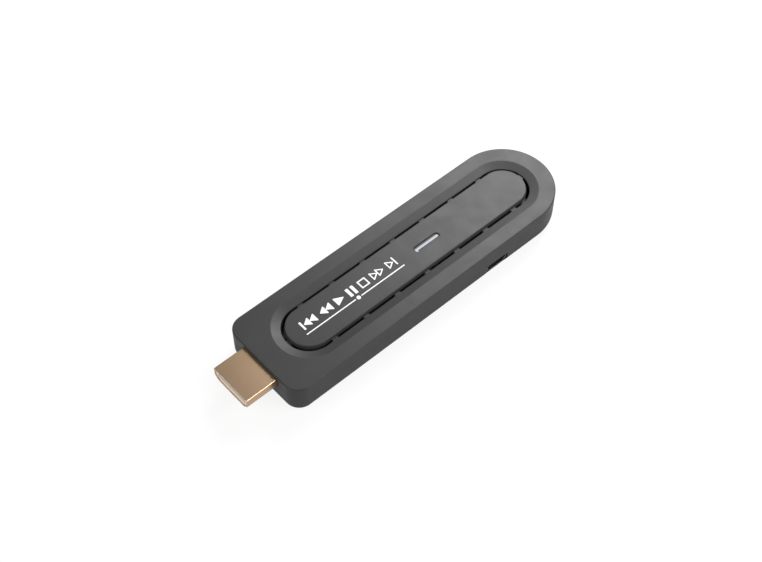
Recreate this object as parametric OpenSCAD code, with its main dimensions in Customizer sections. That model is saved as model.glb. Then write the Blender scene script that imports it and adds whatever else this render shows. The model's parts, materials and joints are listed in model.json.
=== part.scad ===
// HDMI streaming stick: a long housing with a half-round far end, an HDMI plug at the squared end,
// a ring of vent slots around a raised centre panel, and a micro-USB power socket in one long side.
// +X runs from the plug to the far end, +Z is up. The origin is the bottom centre of the whole object.

/* [Housing] */
// Length of the housing without the plug
body_l = 105.4; // [100:0.2:112]
// Width of the housing
body_w = 29.6; // [29:0.1:32]
// Thickness of the housing
body_h = 10.6; // [10.6:0.1:11]
// Plan radius of the two corners at the plug end
corner_r = 4.6; // [4:0.1:6]
// Radius of the upper edge
top_edge_r = 0.5; // [0.5:0.1:1.1]
// Radius of the lower edge
bottom_edge_r = 2.8; // [2.5:0.1:3.4]
// Wall thickness of both shells
wall = 1.5; // [1.4:0.1:1.6]
// Height of the seam between the two shells
seam_z = 2; // [1.9:0.1:2.1]

/* [Panel and vents] */
// Half width of the raised panel
panel_r = 6.6; // [6.4:0.1:7]
// Width of the vent slots around the panel
slot_w = 1.1; // [0.8:0.1:1.3]
// Half width of the bevelled recess at the top face
bevel_r = 10.4; // [10:0.05:10.8]
// Depth of the recess at the vent slots
bevel_drop = 0.75; // [0.6:0.05:0.9]
// Distance between two bridges along the straight sides
bridge_pitch = 11.2; // [10:0.1:12]
// Width of a bridge
bridge_w = 1.8; // [1:0.1:2]
// Depth of the bridges below the lower edge of the bevel
bridge_drop = 0.3; // [0.1:0.05:0.4]
// Length of the slot for the status light
light_l = 9.3; // [7:0.1:10]
// Width of the slot for the status light
light_w = 2; // [1.6:0.1:2.2]

/* [HDMI plug] */
// Length of the plug outside the housing
plug_l = 10; // [9.6:0.1:12]
// Width of the plug shell, fixed by the connector standard
plug_w = 13.9; // [13.9:0.1:13.9]
// Height of the plug shell, fixed by the connector standard
plug_h = 4.45; // [4.45:0.05:4.45]
// Sheet thickness of the plug shell
plug_t = 0.3; // [0.25:0.05:0.35]

/* [Micro-USB socket] */
// Distance from the plug end of the housing to the middle of the socket
usb_from_end = 73.8; // [70:0.1:76]
// Width of the socket shell
usb_w = 7.5; // [7.5:0.1:7.5]
// Height of the socket shell
usb_h = 2.6; // [2.6:0.1:2.6]
// Clearance between the socket shell and the opening in the wall
port_gap = 0.3; // [0.2:0.05:0.35]
// How much further down the opening reaches, into the rounded lower edge
port_drop = 0.45; // [0.3:0.05:0.5]

/* [Push-button] */
// Distance from the plug end of the housing to the middle of the button
button_from_end = 66; // [62:0.5:70]
// Length of the button cap
button_l = 5; // [4:0.1:6]
// Height of the button cap
button_h = 1.9; // [1.6:0.1:2]
// Travel of the button
button_travel = 0.3; // [0.2:0.05:0.35]
// Clearance around the button cap
button_gap = 0.12; // [0.1:0.01:0.15]

/* [Circuit board] */
// Thickness of the board
board_t = 0.8; // [0.8:0.1:0.8]
// Clearance between the board and the walls
board_gap = 0.4; // [0.3:0.1:0.6]

/* [Hidden] */
$fn = 72;
eps = 0.01;
cut = 1;

// housing, along X
end_x = plug_l - (plug_l + body_l) / 2;
far_x = end_x + body_l;
half_w = body_w / 2;
far_cx = far_x - half_w;
inner_w = half_w - wall;

// panel, vent ring and bridges
panel_x0 = end_x + 17;
panel_x1 = far_cx - 0.6;
panel_mid = (panel_x0 + panel_x1) / 2;
ring_r = panel_r + slot_w;
lip_z = body_h - bevel_drop;
bridge_top = lip_z - bridge_drop;
bridge_steps = [-3:3];
seat_top = 9;
seat_gap = 0.05;
panel_top = body_h - 0.05;
panel_edge_r = 0.2;
light_x = end_x + 59.8;
peg_steps = [-34, -12, 22, 34];
peg_r = 0.7;
peg_gap = 0.08;

// shells
floor_t = 1.2;
ceiling_z = 8.4;
lip_t = 0.7;
lip_gap = 0.1;
lip_h = 1.3;
hook_steps = [-30, 0, 40];
hook_l = 3;
hook_out = 0.35;
label_t = 0.12;

// board
board_z = 4.4;
board_top = board_z + board_t;
notch_x = end_x + 7.3;
notch_w = 15.2;
screws = [[end_x + 11.5, 10.9], [end_x + 11.5, -10.9], [far_x - 5.2, 0]];
screw_r = 0.8;
pilot_r = 0.78;
screw_head_r = 1.4;
screw_head_h = 0.9;
screw_l = 3.2;
boss_r = 1.8;

// HDMI plug
plug_top = body_h - 1.07;
plug_bot = plug_top - plug_h;
plug_tip = end_x - plug_l;
plug_back = end_x + 6.6;
plug_gap = 0.1;
mouth_z = plug_bot + 2.3;
mouth_h = 1.3;
contact_t = 0.2;
upper_z = mouth_z + mouth_h / 2 - 0.1;
lower_z = mouth_z - mouth_h / 2 - 0.1;
side_h = 2.9;
foot_w = 10.6;

// micro-USB socket
usb_x = end_x + usb_from_end;
usb_z0 = board_z - usb_h;
usb_mouth = -half_w + 0.35;
usb_depth = 5.2;
usb_t = 0.25;

// push-button
button_x = end_x + button_from_end;
button_z = board_top + 1.15;
flange_t = 0.5;
flange_lip = 0.45;
cap_face = half_w - 0.05;
cap_back = inner_w - 0.1;
plunger_w = 2;
plunger_h = 0.9;
switch_l = 4.6;
switch_d = 2.3;
switch_h = 2.1;
switch_y = cap_back - flange_t - 0.7;

// points of an arc in a profile, centre (cr, cz)
function arc(cr, cz, r, a0, a1, steps = 8) =
    [for (i = [0:steps]) let (a = a0 + (a1 - a0) * i / steps) [cr + r * cos(a), cz + r * sin(a)]];

// half of a cross-section: from the axis out to radius r, with rounded lower and upper edges
module edge_profile(r, h, low_r = 0, up_r = 0) {
    low = low_r > 0 ? arc(r - low_r, low_r, low_r, -90, 0) : [[r, 0]];
    up = up_r > 0 ? arc(r - up_r, h - up_r, up_r, 0, 90, 5) : [[r, h]];
    polygon(concat([[0, 0]], low, up, [[0, h]]));
}

// prism along X from x0 to x1 whose section is a half profile and its mirror image
module run_x(x0, x1) {
    for (side = [0, 1])
        translate([x0, 0, 0]) mirror([0, side, 0]) rotate([90, 0, 90])
            linear_extrude(height = x1 - x0) children();
}

// stadium with half-round ends centred at x0 and x1; the child is its half profile
module stadium(x0, x1) {
    run_x(x0, x1) children();
    translate([x1, 0, 0]) rotate([0, 0, -90]) rotate_extrude(angle = 180) children();
    translate([x0, 0, 0]) rotate([0, 0, 90]) rotate_extrude(angle = 180) children();
}

module stadium_block(x0, x1, r, z0, z1) {
    translate([0, 0, z0]) stadium(x0, x1) square([r, z1 - z0]);
}

// the housing's outline: a round far end, and corners of radius r at the plug end
module bar(inset, z0, h, low_r = 0, up_r = 0) {
    w = half_w - inset;
    r = corner_r - inset;
    cx = end_x + corner_r;
    translate([0, 0, z0]) {
        run_x(cx, far_cx) edge_profile(w, h, low_r, up_r);
        translate([far_cx, 0, 0]) rotate([0, 0, -90]) rotate_extrude(angle = 180)
            edge_profile(w, h, low_r, up_r);
        translate([cx, 0, 0]) rotate([0, 0, 90]) run_x(-(w - r), w - r) intersection() {
            edge_profile(r, h, low_r, up_r);
            square([r, h]);
        }
        for (side = [0, 1])
            mirror([0, side, 0]) translate([cx, w - r, 0]) rotate([0, 0, 90])
                rotate_extrude(angle = 90) edge_profile(r, h, low_r, up_r);
    }
}

module housing_blank() bar(0, 0, body_h, bottom_edge_r, top_edge_r);

// block given by its two corners
module block(a, b) translate(a) cube(b - a);

// box with upright edges rounded, from corner a to corner b
module round_bar_y(x, z, l, h, y0, y1) {
    translate([x, y1, z]) rotate([90, 0, 0]) linear_extrude(height = y1 - y0) {
        square([l - h, h], center = true);
        for (s = [-1, 1]) translate([s * (l - h) / 2, 0]) circle(d = h);
    }
}

module top_case() {
    color([0.27, 0.27, 0.28]) difference() {
        union() {
            difference() {
                housing_blank();
                block([end_x - cut, -half_w - cut, -cut], [far_x + cut, half_w + cut, seam_z]);
                bar(wall, -cut, ceiling_z + cut);
                plug_pocket();
            }
            screw_bosses();
        }
        recess();
        vent_slots();
        panel_pocket();
        plug_opening();
        port_opening();
        button_hole();
        hook_pockets();
        for (p = screws) translate([p[0], p[1], board_top - eps]) cylinder(r = pilot_r, h = 2.6);
    }
}

// bevelled recess around the panel
module recess() {
    stadium(panel_x0, panel_x1)
        polygon([[0, lip_z], [ring_r, lip_z], [bevel_r, body_h], [bevel_r, body_h + cut], [0, body_h + cut]]);
}

// ring of slots, crossed by bridges along both sides and at both ends
module vent_slots() {
    difference() {
        stadium_block(panel_x0, panel_x1, ring_r, ceiling_z - cut, lip_z + cut);
        stadium_block(panel_x0, panel_x1, panel_r, ceiling_z - 2 * cut, lip_z + 2 * cut);
        for (i = bridge_steps)
            translate([panel_mid + i * bridge_pitch, 0, bridge_top - 3])
                cube([bridge_w, 3 * ring_r, 6], center = true);
        translate([panel_mid, 0, bridge_top - 3]) cube([3 * body_l, bridge_w, 6], center = true);
    }
}

// seat for the panel, with holes for its pegs and the light pipe
module panel_pocket() {
    stadium_block(panel_x0, panel_x1, panel_r + seat_gap, seat_top, body_h + cut);
    for (i = peg_steps)
        translate([panel_mid + i, 0, ceiling_z - cut]) cylinder(r = peg_r + peg_gap, h = 3 * cut);
    stadium_block(light_x - light_l / 2 + 1.2, light_x + light_l / 2 - 1.2, 1.4,
                  ceiling_z - cut, seat_top + cut);
}

// room for the inner half of the plug shell
module plug_pocket() {
    block([end_x + wall - eps, -plug_w / 2 - 0.2, board_top],
          [plug_back + 0.3, plug_w / 2 + 0.2, plug_top + 0.08]);
}

module plug_outline(grow) {
    w = plug_w / 2 + grow;
    f = foot_w / 2 + grow;
    polygon([[-w, plug_top + grow], [-w, plug_top - side_h], [-f, plug_bot - grow],
             [f, plug_bot - grow], [w, plug_top - side_h], [w, plug_top + grow]]);
}

module plug_sweep(x0, x1, grow) {
    translate([x0, 0, 0]) rotate([90, 0, 90]) linear_extrude(height = x1 - x0) plug_outline(grow);
}

module plug_opening() plug_sweep(end_x - cut, end_x + wall + cut, plug_gap);

module screw_bosses() {
    for (p = screws)
        translate([p[0], p[1], board_top]) cylinder(r = boss_r, h = ceiling_z - board_top + eps);
}

module port_opening() {
    h = usb_h + 2 * port_gap + port_drop;
    l = usb_w + 2 * port_gap;
    r = 0.9;
    translate([usb_x, -inner_w + 2 * cut, usb_z0 + (usb_h - port_drop) / 2]) rotate([90, 0, 0])
        linear_extrude(height = wall + 4 * cut) {
            square([l, h - 2 * r], center = true);
            square([l - 2 * r, h], center = true);
            for (sx = [-1, 1], sz = [-1, 1]) translate([sx * (l / 2 - r), sz * (h / 2 - r)]) circle(r);
        }
}

module button_hole() {
    round_bar_y(button_x, button_z, button_l + 2 * button_gap, button_h + 2 * button_gap,
                inner_w - cut, half_w + cut);
}

module hook_pockets() {
    for (i = hook_steps, s = [-1, 1])
        translate([i - hook_l / 2 - 0.15,
                   s > 0 ? inner_w - eps : -inner_w - hook_out - 0.1 + eps,
                   seam_z + 0.55])
            cube([hook_l + 0.3, hook_out + 0.1, 0.7]);
}

module top_panel() {
    color([0.29, 0.29, 0.3]) difference() {
        union() {
            translate([0, 0, seat_top]) stadium(panel_x0, panel_x1)
                edge_profile(panel_r, panel_top - seat_top, 0, panel_edge_r);
            for (i = peg_steps)
                translate([panel_mid + i, 0, ceiling_z + 0.1])
                    cylinder(r = peg_r, h = seat_top - ceiling_z);
        }
        stadium_block(light_x - light_l / 2 + light_w / 2, light_x + light_l / 2 - light_w / 2,
                      light_w / 2, seat_top - cut, panel_top + cut);
    }
}

module light_pipe() {
    bar_w = 1.1;
    half = light_l / 2 - 0.35 - bar_w / 2;
    color([0.85, 0.93, 1], 0.6) {
        stadium_block(light_x - half, light_x + half, bar_w / 2, seat_top - 1.3, panel_top - 0.3);
        stadium_block(light_x - half + 0.6, light_x + half - 0.6, 1.25, ceiling_z + 0.1, seat_top - 0.05);
    }
}

module bottom_case() {
    color([0.22, 0.22, 0.23]) difference() {
        union() {
            difference() {
                housing_blank();
                block([end_x - cut, -half_w - cut, seam_z], [far_x + cut, half_w + cut, body_h + cut]);
                bar(wall + 0.6, floor_t, body_h);
            }
            locating_lip();
            board_posts();
            snap_hooks();
        }
        port_opening();
        label_recess();
    }
}

module locating_lip() {
    difference() {
        bar(wall + lip_gap, seam_z - eps, lip_h);
        bar(wall + lip_gap + lip_t, seam_z - cut, lip_h + 2 * cut);
    }
}

module board_posts() {
    for (p = screws) translate([p[0], p[1], floor_t - eps]) difference() {
        cylinder(r = 2.2, h = board_z - floor_t);
        translate([0, 0, eps]) cylinder(r = screw_head_r + 0.25, h = board_z);
    }
    for (x = [panel_mid - 14, panel_mid + 34], s = [-1, 1])
        translate([x, s * 10.4, floor_t - eps]) cylinder(r = 0.9, h = board_z - floor_t);
}

module snap_hooks() {
    for (i = hook_steps, s = [-1, 1])
        translate([i, s * (inner_w - lip_gap), seam_z + 0.9]) rotate([90, 0, 90])
            translate([0, 0, -hook_l / 2]) linear_extrude(height = hook_l)
                polygon([[-s * 0.2, -0.25], [s * hook_out, -0.2], [s * hook_out, -0.05], [-s * 0.2, 0.3]]);
}

module label_recess() {
    stadium_block(panel_x0 + 6, panel_x1 - 6, 8, -cut, label_t + 0.04);
}

module rating_label() {
    color([0.75, 0.76, 0.77]) stadium_block(panel_x0 + 6, panel_x1 - 6, 7.8, 0.04, label_t + 0.04);
}

// ---- HDMI plug ----
module hdmi_shell() {
    color([0.83, 0.68, 0.5]) difference() {
        plug_sweep(plug_tip, plug_back, 0);
        plug_sweep(plug_tip - cut, plug_back - plug_t, -plug_t);
        // latch windows in the lower face
        for (s = [-1, 1]) block([plug_tip + 4.6, s * 2.6 - 0.9, plug_bot - cut],
                                [plug_tip + 7.4, s * 2.6 + 0.9, plug_bot + plug_t + eps]);
        // exit for the contact tails
        block([plug_back - cut, -foot_w / 2, plug_bot + 0.15], [plug_back + cut, foot_w / 2, plug_bot + 2]);
    }
}

module hdmi_insulator() {
    t = plug_t + 0.02;
    front = plug_tip + 0.35;
    color([0.93, 0.89, 0.8]) difference() {
        union() {
            plug_sweep(front, plug_back - t, -t);
            block([plug_back - 2 * t, -foot_w / 2 + 0.1, plug_bot + 0.3],
                  [plug_back + 1.4, foot_w / 2 - 0.1, plug_bot + 1.9]);
        }
        // slot that takes the socket's tongue
        block([front - cut, -5.6, mouth_z - mouth_h / 2], [front + 8.2, 5.6, mouth_z + mouth_h / 2]);
        // grooves for the contacts
        contact_rows(0.05);
    }
}

// contact strips of one row, standing a little out of the groove into the slot
module contact_row(n, pitch, z0, z1, x1, grow) {
    for (i = [0:n - 1])
        translate([0, (i - (n - 1) / 2) * pitch, 0])
            block([plug_tip + 1.1 - grow, -0.2 - grow, z0 - grow], [x1 + grow, 0.2 + grow, z1 + grow]);
}

module contact_rows(grow) {
    contact_row(10, 1, upper_z, upper_z + contact_t, plug_back - 1, grow);
    contact_row(9, 1, lower_z, lower_z + contact_t, plug_back + 1.4, grow);
}

module hdmi_contacts_upper() {
    color([0.9, 0.75, 0.4]) contact_row(10, 1, upper_z, upper_z + contact_t, plug_back - 1, 0);
}

module hdmi_contacts_lower() {
    color([0.9, 0.75, 0.4]) {
        contact_row(9, 1, lower_z, lower_z + contact_t, plug_back + 1.4 + eps, 0);
        // tails that bend down to the board
        for (i = [-4:4]) {
            block([plug_back + 1.4, i - 0.2, board_top], [plug_back + 1.6, i + 0.2, lower_z + contact_t]);
            block([plug_back + 1.6 - eps, i - 0.2, board_top], [plug_back + 2.6, i + 0.2, board_top + 0.2]);
        }
    }
}

// ---- micro-USB socket ----
module usb_outline(grow) {
    w = usb_w / 2 + grow;
    z0 = usb_z0 - grow;
    z1 = usb_z0 + usb_h + grow;
    polygon([[-w, z1], [w, z1], [w, z0 + 1.1 + grow], [w - 1.1 - grow, z0], [-w + 1.1 + grow, z0],
             [-w, z0 + 1.1 + grow]]);
}

module usb_sweep(y0, y1, grow) {
    translate([usb_x, y1, 0]) rotate([90, 0, 0]) linear_extrude(height = y1 - y0) usb_outline(grow);
}

module usb_shell() {
    color([0.72, 0.73, 0.75]) difference() {
        usb_sweep(usb_mouth, usb_mouth + usb_depth, 0);
        usb_sweep(usb_mouth - cut, usb_mouth + usb_depth - usb_t, -usb_t);
    }
}

module usb_tongue() {
    color([0.12, 0.12, 0.12]) difference() {
        union() {
            usb_sweep(usb_mouth + 3.6, usb_mouth + usb_depth - usb_t - 0.02, -usb_t - 0.02);
            block([usb_x - 1.85, usb_mouth + 0.8, usb_z0 + 1.35],
                  [usb_x + 1.85, usb_mouth + 3.7, usb_z0 + 1.95]);
        }
        usb_contact_set(0.02);
    }
}

module usb_contact_set(grow) {
    for (i = [-2:2])
        block([usb_x + i * 0.65 - 0.15 - grow, usb_mouth + 0.9 - grow, usb_z0 + 1.25 - grow],
              [usb_x + i * 0.65 + 0.15 + grow, usb_mouth + 4.4 + grow, usb_z0 + 1.45 + grow]);
}

module usb_contacts() color([0.9, 0.75, 0.4]) usb_contact_set(0);

// ---- circuit board and what is on it ----
module main_board() {
    color([0.05, 0.3, 0.2]) difference() {
        bar(wall + board_gap, board_z, board_t);
        block([end_x, -notch_w / 2, board_z - cut], [notch_x, notch_w / 2, board_top + cut]);
        for (p = screws)
            translate([p[0], p[1], board_z - cut]) cylinder(r = screw_r + 0.15, h = board_t + 2 * cut);
    }
}

module board_screws() {
    color([0.7, 0.7, 0.72]) for (p = screws) translate([p[0], p[1], 0]) difference() {
        union() {
            translate([0, 0, board_z - screw_head_h]) cylinder(r = screw_head_r, h = screw_head_h);
            translate([0, 0, board_z - eps]) cylinder(r = 0.74, h = screw_l - screw_head_h + 0.6);
        }
        // cross recess
        for (a = [0, 90]) rotate([0, 0, a])
            translate([0, 0, board_z - screw_head_h]) cube([1.6, 0.35, 1], center = true);
    }
}

// a chip or can standing on the top of the board (side = 1) or hanging under it (side = -1)
module on_board(x, y, l, w, h, side = 1) {
    translate([x - l / 2, y - w / 2, side > 0 ? board_top : board_z - h]) cube([l, w, h]);
}

chip_x = panel_mid - 18;
chip_l = 14;
can_l = 22;
can_w = 18;
can_t = 0.2;
can_h = 1.9;
pad_h = 0.4;

module system_chip() {
    color([0.1, 0.1, 0.11]) difference() {
        on_board(chip_x, 0, chip_l, chip_l, 1.2);
        // pin-one dimple
        translate([chip_x - chip_l / 2 + 1.4, chip_l / 2 - 1.4, board_top + 1.15]) cylinder(r = 0.4, h = cut);
    }
}

module thermal_pad()
    color([0.6, 0.62, 0.66]) translate([0, 0, 1.2]) on_board(chip_x, 0, 12, 12, can_h - can_t - 1.2);

module shield_frame() {
    color([0.75, 0.76, 0.78]) difference() {
        on_board(chip_x, 0, can_l, can_w, can_h - can_t - 0.1);
        translate([0, 0, -cut]) on_board(chip_x, 0, can_l - 2 * can_t, can_w - 2 * can_t, 2 * cut + can_h);
    }
}

module shield_lid() {
    color([0.8, 0.81, 0.83]) difference() {
        translate([0, 0, 0.5])
            on_board(chip_x, 0, can_l + 2 * can_t + 0.1, can_w + 2 * can_t + 0.1, can_h - 0.5);
        on_board(chip_x, 0, can_l + 0.1, can_w + 0.1, can_h - can_t);
    }
}

spreader_z = board_top + can_h + pad_h;
module spreader_pad() color([0.55, 0.6, 0.7]) translate([0, 0, can_h]) on_board(chip_x, 0, 14, 12, pad_h);

module heat_spreader() {
    color([0.16, 0.16, 0.17]) difference() {
        translate([0, 0, spreader_z]) block([chip_x - 15, -9.5, 0], [chip_x + 15, 9.5, 0.5]);
        for (i = peg_steps) translate([panel_mid + i, 0, spreader_z - cut]) cylinder(r = 1.6, h = 3 * cut);
    }
}

module ram_chip(x) color([0.1, 0.1, 0.11]) on_board(x, 0, 9, 13, 1, -1);
module ram_chip_1() ram_chip(chip_x - 6);
module ram_chip_2() ram_chip(chip_x + 6);
module flash_chip() color([0.1, 0.1, 0.11]) on_board(panel_mid + 3, -2, 12, 16, 1, -1);
module power_chip() color([0.1, 0.1, 0.11]) on_board(usb_x - 1.5, -8, 4, 4, 0.9);

module wifi_module() color([0.08, 0.2, 0.4]) on_board(panel_mid + 28, 1, 13, 12.5, 0.6);
module wifi_shield() {
    color([0.78, 0.79, 0.8]) translate([0, 0, 0.6]) on_board(panel_mid + 28, 1, 11.6, 11.2, 1.4);
}
module chip_antenna() color([0.9, 0.9, 0.86]) on_board(far_x - 9, 7, 3.2, 1.6, 1.1);
module crystal_can() color([0.8, 0.8, 0.82]) on_board(panel_mid - 1, 7.6, 3.2, 2.5, 0.8);

// shielded coil: square block with a round ferrite core showing
module power_inductor(x, y) {
    color([0.3, 0.3, 0.31]) difference() {
        on_board(x, y, 4, 4, 1.8);
        translate([x, y, board_top + 1.55]) difference() {
            cylinder(r = 1.7, h = cut);
            translate([0, 0, -cut]) cylinder(r = 1.25, h = 3 * cut);
        }
    }
}
module power_inductor_1() power_inductor(usb_x - 7.5, -8);
module power_inductor_2() power_inductor(usb_x + 5, -8);

module smd_capacitors() {
    color([0.7, 0.62, 0.5]) {
        for (i = [0:6]) on_board(chip_x - 9 + 3 * i, 11, 1, 0.6, 0.5);
        for (i = [0:6]) on_board(chip_x - 9 + 3 * i, -11, 1, 0.6, 0.5);
        for (i = [0:3]) on_board(panel_mid + 3 + 2.5 * i, -5, 1.6, 0.8, 0.8);
    }
}

module smd_resistors() {
    color([0.12, 0.12, 0.12]) {
        for (i = [0:7]) on_board(panel_mid - 3 + 2 * i, 5, 1, 0.5, 0.35);
        for (i = [0:4]) on_board(panel_mid + 4 + 2 * i, -11, 1, 0.5, 0.35);
    }
}

module status_led() {
    color([0.95, 0.95, 0.9]) for (s = [-1, 1]) on_board(light_x + 2 * s, 0, 2, 1.25, 0.7);
}

// ---- push-button ----
module switch_body() {
    color([0.15, 0.15, 0.16]) difference() {
        block([button_x - switch_l / 2, switch_y - switch_d, board_top],
              [button_x + switch_l / 2, switch_y, board_top + switch_h]);
        // pocket that guides the plunger
        block([button_x - plunger_w / 2 - 0.1, switch_y - 1.5, button_z - plunger_h / 2 - 0.1],
              [button_x + plunger_w / 2 + 0.1, switch_y + cut, button_z + plunger_h / 2 + 0.1]);
    }
}

module switch_cover() {
    color([0.75, 0.76, 0.78]) difference() {
        block([button_x - switch_l / 2 - 0.2, switch_y - switch_d - 0.2, board_top],
              [button_x + switch_l / 2 + 0.2, switch_y + 0.15, board_top + switch_h + 0.2]);
        block([button_x - switch_l / 2 - 0.01, switch_y - switch_d - 0.01, board_top - cut],
              [button_x + switch_l / 2 + 0.01, switch_y + 0.01, board_top + switch_h + 0.01]);
        block([button_x - plunger_w / 2 - 0.15, switch_y - cut, button_z - plunger_h / 2 - 0.15],
              [button_x + plunger_w / 2 + 0.15, switch_y + cut, button_z + plunger_h / 2 + 0.15]);
    }
}

module switch_plunger() {
    half_w = plunger_w / 2;
    half_h = plunger_h / 2;
    color([0.85, 0.2, 0.15])
        block([button_x - half_w, switch_y - 1, button_z - half_h],
              [button_x + half_w, cap_back - flange_t - 0.02, button_z + half_h]);
}

module button_cap() {
    color([0.2, 0.2, 0.21]) {
        round_bar_y(button_x, button_z, button_l, button_h, cap_back - eps, cap_face);
        block([button_x - button_l / 2 - flange_lip, cap_back - flange_t, button_z - button_h / 2 - 0.15],
              [button_x + button_l / 2 + flange_lip, cap_back, button_z + button_h / 2 + flange_lip]);
    }
}

top_case();
top_panel();
bottom_case();
rating_label();
light_pipe();
hdmi_shell();
hdmi_insulator();
hdmi_contacts_upper();
hdmi_contacts_lower();
usb_shell();
usb_tongue();
usb_contacts();
main_board();
board_screws();
system_chip();
ram_chip_1();
ram_chip_2();
flash_chip();
power_chip();
wifi_module();
wifi_shield();
crystal_can();
power_inductor_1();
power_inductor_2();
smd_capacitors();
smd_resistors();
chip_antenna();
status_led();
shield_frame();
shield_lid();
thermal_pad();
heat_spreader();
spreader_pad();
switch_body();
switch_cover();
switch_plunger();
button_cap();
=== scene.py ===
import json
import math

import bmesh
import bpy
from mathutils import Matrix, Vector


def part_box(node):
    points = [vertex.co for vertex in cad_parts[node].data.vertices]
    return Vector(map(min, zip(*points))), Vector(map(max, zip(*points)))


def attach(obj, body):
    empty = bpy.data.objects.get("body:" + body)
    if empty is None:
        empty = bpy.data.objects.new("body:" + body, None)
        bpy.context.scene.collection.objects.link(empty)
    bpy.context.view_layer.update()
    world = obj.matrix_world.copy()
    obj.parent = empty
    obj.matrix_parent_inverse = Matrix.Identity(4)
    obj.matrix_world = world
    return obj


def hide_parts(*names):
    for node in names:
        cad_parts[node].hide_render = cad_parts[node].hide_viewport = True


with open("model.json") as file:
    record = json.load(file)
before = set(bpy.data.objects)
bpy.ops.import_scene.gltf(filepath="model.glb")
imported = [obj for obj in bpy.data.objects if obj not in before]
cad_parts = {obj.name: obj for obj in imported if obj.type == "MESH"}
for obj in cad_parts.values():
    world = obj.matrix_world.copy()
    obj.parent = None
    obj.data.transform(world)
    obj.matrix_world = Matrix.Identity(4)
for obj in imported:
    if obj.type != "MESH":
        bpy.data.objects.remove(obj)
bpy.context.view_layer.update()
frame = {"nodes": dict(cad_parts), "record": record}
nodes = frame["nodes"]
MM = 0.001


def mm_box(node):
    """Lowest and highest corner of a CAD node in millimetres."""
    low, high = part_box(node)
    return low / MM, high / MM


# ---------------------------------------------------------------- sizes, in millimetres
case_lo, case_hi = mm_box("top_case")
panel_lo, panel_hi = mm_box("top_panel")
plug_lo, plug_hi = mm_box("hdmi_shell")
usb_lo, usb_hi = mm_box("usb_shell")
cap_lo, cap_hi = mm_box("button_cap")
pipe_lo, pipe_hi = mm_box("light_pipe")
label_lo, label_hi = mm_box("rating_label")

END_X, FAR_X, HALF_W = case_lo.x, case_hi.x, case_hi.y
TOP, SEAM = case_hi.z, case_lo.z
CORNER_R, TOP_R, LOW_R = 4.6, 0.34, 2.8
FAR_CX, NEAR_CX = FAR_X - HALF_W, END_X + CORNER_R
WALL, CEILING, SEAT = 1.5, 8.4, 9.0
FLOOR_T, LIP_TOP = 1.2, 3.3

PANEL_R, PANEL_TOP = panel_hi.y, panel_hi.z
PANEL_X0, PANEL_X1 = panel_lo.x + PANEL_R, panel_hi.x - PANEL_R
PANEL_MID = (PANEL_X0 + PANEL_X1) / 2
POCKET_R, RING_R, BEVEL_R, BEVEL_DROP = PANEL_R + 0.05, PANEL_R + 1.1, 10.4, 0.75
LIP_Z = TOP - BEVEL_DROP
BRIDGE_TOP = LIP_Z - 0.3
BRIDGE_PITCH, BRIDGE_W = 11.2, 1.8
LIGHT_X = (pipe_lo.x + pipe_hi.x) / 2
LIGHT_L, LIGHT_W = 9.3, 2.0
PEGS = [PANEL_MID + i for i in (-34, -12, 22, 34)]
SCREWS = [(END_X + 11.5, 10.9), (END_X + 11.5, -10.9), (FAR_X - 5.2, 0.0)]

PLUG_W, FOOT_W, SIDE_H, SHEET = plug_hi.y, 5.3, 2.9, 0.3
USB_X = (usb_lo.x + usb_hi.x) / 2
PORT_GAP, PORT_DROP = 0.3, 0.45
PORT_LOW, PORT_HIGH = usb_lo.z - PORT_GAP - PORT_DROP, usb_hi.z + PORT_GAP
CAP_X, CAP_FACE = (cap_lo.x + cap_hi.x) / 2, cap_hi.y
CAP_Z, CAP_L, CAP_H = 6.35, 5.0, 1.9
LABEL_X0, LABEL_X1, LABEL_R = label_lo.x + label_hi.y, label_hi.x - label_hi.y, label_hi.y

PEG_R, PEG_TIP_R, PEG_HOLE_R = 0.7, 0.6, 0.78
LIGHT_HOLE_R, LIGHT_HOLE_INSET = 1.4, 1.2
BOSS_R, BOSS_LOW = 1.8, 5.2
PILOT_R, PILOT_LOW, PILOT_HIGH = 0.78, 5.0, 7.79
POST_R, POST_TOP, WELL_R = 2.2, 4.39, 1.65
STUD_R, STUD_Y = 0.9, 10.4
HOOKS = [(x, s) for x in (-30, 0, 40) for s in (-1, 1)]
HOOK_HALF, HOOK_PLAY = 1.5, 0.15


# ---------------------------------------------------------------- mesh making
class Solid:
    """Points and faces in millimetres, made from closed loops that all have the same number of points."""

    def __init__(self):
        self.points, self.faces = [], []

    def loop(self, points):
        start = len(self.points)
        self.points.extend(points)
        return list(range(start, len(self.points)))

    def strip(self, a, b, cells=None):
        n = len(a)
        for i in range(n) if cells is None else cells:
            j = (i + 1) % n
            self.faces.append((a[i], a[j], b[j], b[i]))

    def skin(self, loops):
        for a, b in zip(loops, loops[1:]):
            self.strip(a, b)

    def cap(self, a):
        self.faces.append(tuple(a))

    def closed(self, outlines):
        """Skin through the outlines, with a flat face at each end."""
        loops = [self.loop(points) for points in outlines]
        self.skin(loops)
        self.cap(loops[0])
        self.cap(loops[-1])


def to_object(name, bm):
    bmesh.ops.recalc_face_normals(bm, faces=bm.faces)
    mesh = bpy.data.meshes.new(name)
    bm.to_mesh(mesh)
    bm.free()
    obj = bpy.data.objects.new(name, mesh)
    bpy.context.scene.collection.objects.link(obj)
    return obj


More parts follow.
